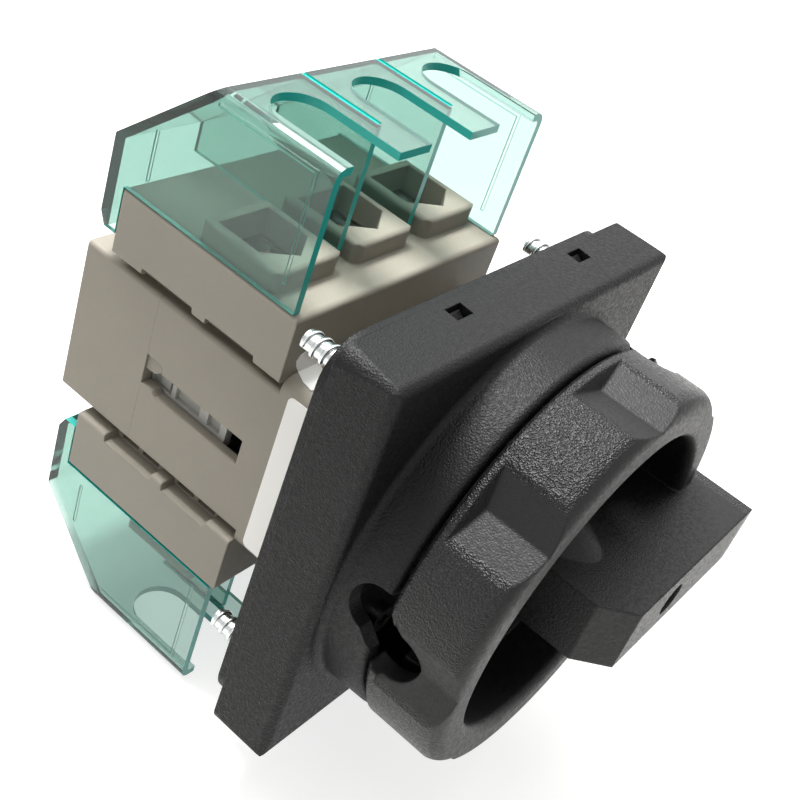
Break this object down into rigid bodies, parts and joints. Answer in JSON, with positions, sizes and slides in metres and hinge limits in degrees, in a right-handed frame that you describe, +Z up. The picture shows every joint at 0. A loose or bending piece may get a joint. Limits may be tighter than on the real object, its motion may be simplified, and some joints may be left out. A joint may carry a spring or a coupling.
{
  "type": "switch disconnector",
  "caption": "Rotary switch disconnector for a panel door, with a padlockable knob, a square front plate, box-clamp terminals and clear slide-off covers.",
  "frame": {"origin": "on the knob's axis, in the back face of the mounting frame that lies against the panel", "axes": "+X to the right when facing the knob, +Y from the knob through the panel to the back, +Z up"},
  "size_m": [0.09, 0.1203, 0.1232],
  "materials": {
    "black_plastic": "black moulded plastic with a fine grain",
    "grey_plastic": "warm grey moulded plastic",
    "pale_plastic": "pale warm grey moulded plastic",
    "light_plastic": "light grey moulded plastic",
    "clear_teal": "clear teal-tinted plastic, glossy",
    "zinc_steel": "bright zinc-plated steel",
    "spring_steel": "spring steel wire",
    "copper_bar": "tinned copper alloy strip",
    "seal_rubber": "black rubber"
  },
  "bodies": {
    "base": {"escutcheon_plate": "black_plastic", "mounting_frame": "black_plastic", "mounting_screws": "zinc_steel", "body_screws": "zinc_steel", "shaft_seal": "seal_rubber", "detent_plungers": "grey_plastic", "detent_springs": "spring_steel", "front_housing": "grey_plastic", "rear_cover": "grey_plastic", "upper_terminal_block": "pale_plastic", "lower_terminal_block": "pale_plastic", "line_contact_bars": "copper_bar", "load_contact_bars": "copper_bar"},
    "knob_unit": {"knob": "black_plastic", "knob_retainer": "zinc_steel", "drive_shaft": "zinc_steel", "cam_drum": "grey_plastic"},
    "carrier_unit": {"contact_carrier": "light_plastic", "contact_bridges": "copper_bar", "contact_springs": "spring_steel"},
    "upper_cover": {"upper_terminal_cover": "clear_teal"},
    "lower_cover": {"lower_terminal_cover": "clear_teal"},
    "upper_cage_body_1": {"upper_cage_1": "zinc_steel"},
    "upper_screw_body_1": {"upper_clamp_screw_1": "zinc_steel"},
    "upper_cage_body_2": {"upper_cage_2": "zinc_steel"},
    "upper_screw_body_2": {"upper_clamp_screw_2": "zinc_steel"},
    "upper_cage_body_3": {"upper_cage_3": "zinc_steel"},
    "upper_screw_body_3": {"upper_clamp_screw_3": "zinc_steel"},
    "lower_cage_body_1": {"lower_cage_1": "zinc_steel"},
    "lower_screw_body_1": {"lower_clamp_screw_1": "zinc_steel"},
    "lower_cage_body_2": {"lower_cage_2": "zinc_steel"},
    "lower_screw_body_2": {"lower_clamp_screw_2": "zinc_steel"},
    "lower_cage_body_3": {"lower_cage_3": "zinc_steel"},
    "lower_screw_body_3": {"lower_clamp_screw_3": "zinc_steel"}
  },
  "joints": [
    {"name": "knob_turn", "type": "hinge", "parent": "base", "child": "knob_unit", "pos_m": [0, 0, 0], "axis": [0, 1, 0], "range_deg": [0, 90]},
    {"name": "carrier_slide", "type": "slide", "parent": "base", "child": "carrier_unit", "axis": [0, 1, 0], "range_m": [-0.006, 0]},
    {"name": "upper_cover_slide", "type": "slide", "parent": "base", "child": "upper_cover", "axis": [0, 1, 0], "range_m": [0, 0.045]},
    {"name": "lower_cover_slide", "type": "slide", "parent": "base", "child": "lower_cover", "axis": [0, 1, 0], "range_m": [0, 0.045]},
    {"name": "upper_clamp_screw_1_turn", "type": "hinge", "parent": "base", "child": "upper_screw_body_1", "pos_m": [-0.021, 0.045, 0.02675], "axis": [0, -1, 0], "range_deg": [0, 2880]},
    {"name": "upper_cage_1_slide", "type": "slide", "parent": "base", "child": "upper_cage_body_1", "axis": [0, 1, 0], "range_m": [0, 0.0064]},
    {"name": "upper_clamp_screw_2_turn", "type": "hinge", "parent": "base", "child": "upper_screw_body_2", "pos_m": [0, 0.045, 0.02675], "axis": [0, -1, 0], "range_deg": [0, 2880]},
    {"name": "upper_cage_2_slide", "type": "slide", "parent": "base", "child": "upper_cage_body_2", "axis": [0, 1, 0], "range_m": [0, 0.0064]},
    {"name": "upper_clamp_screw_3_turn", "type": "hinge", "parent": "base", "child": "upper_screw_body_3", "pos_m": [0.021, 0.045, 0.02675], "axis": [0, -1, 0], "range_deg": [0, 2880]},
    {"name": "upper_cage_3_slide", "type": "slide", "parent": "base", "child": "upper_cage_body_3", "axis": [0, 1, 0], "range_m": [0, 0.0064]},
    {"name": "lower_clamp_screw_1_turn", "type": "hinge", "parent": "base", "child": "lower_screw_body_1", "pos_m": [-0.021, 0.045, -0.02675], "axis": [0, -1, 0], "range_deg": [0, 2880]},
    {"name": "lower_cage_1_slide", "type": "slide", "parent": "base", "child": "lower_cage_body_1", "axis": [0, 1, 0], "range_m": [0, 0.0064]},
    {"name": "lower_clamp_screw_2_turn", "type": "hinge", "parent": "base", "child": "lower_screw_body_2", "pos_m": [0, 0.045, -0.02675], "axis": [0, -1, 0], "range_deg": [0, 2880]},
    {"name": "lower_cage_2_slide", "type": "slide", "parent": "base", "child": "lower_cage_body_2", "axis": [0, 1, 0], "range_m": [0, 0.0064]},
    {"name": "lower_clamp_screw_3_turn", "type": "hinge", "parent": "base", "child": "lower_screw_body_3", "pos_m": [0.021, 0.045, -0.02675], "axis": [0, -1, 0], "range_deg": [0, 2880]},
    {"name": "lower_cage_3_slide", "type": "slide", "parent": "base", "child": "lower_cage_body_3", "axis": [0, 1, 0], "range_m": [0, 0.0064]}
  ],
  "couplings": [
    {"joint": "carrier_slide", "follows": "knob_turn", "m_per_rad": -0.0038197},
    {"joint": "upper_clamp_screw_1_turn", "follows": "upper_cage_1_slide", "rad_per_m": 7854},
    {"joint": "upper_clamp_screw_2_turn", "follows": "upper_cage_2_slide", "rad_per_m": 7854},
    {"joint": "upper_clamp_screw_3_turn", "follows": "upper_cage_3_slide", "rad_per_m": 7854},
    {"joint": "lower_clamp_screw_1_turn", "follows": "lower_cage_1_slide", "rad_per_m": 7854},
    {"joint": "lower_clamp_screw_2_turn", "follows": "lower_cage_2_slide", "rad_per_m": 7854},
    {"joint": "lower_clamp_screw_3_turn", "follows": "lower_cage_3_slide", "rad_per_m": 7854}
  ]
}
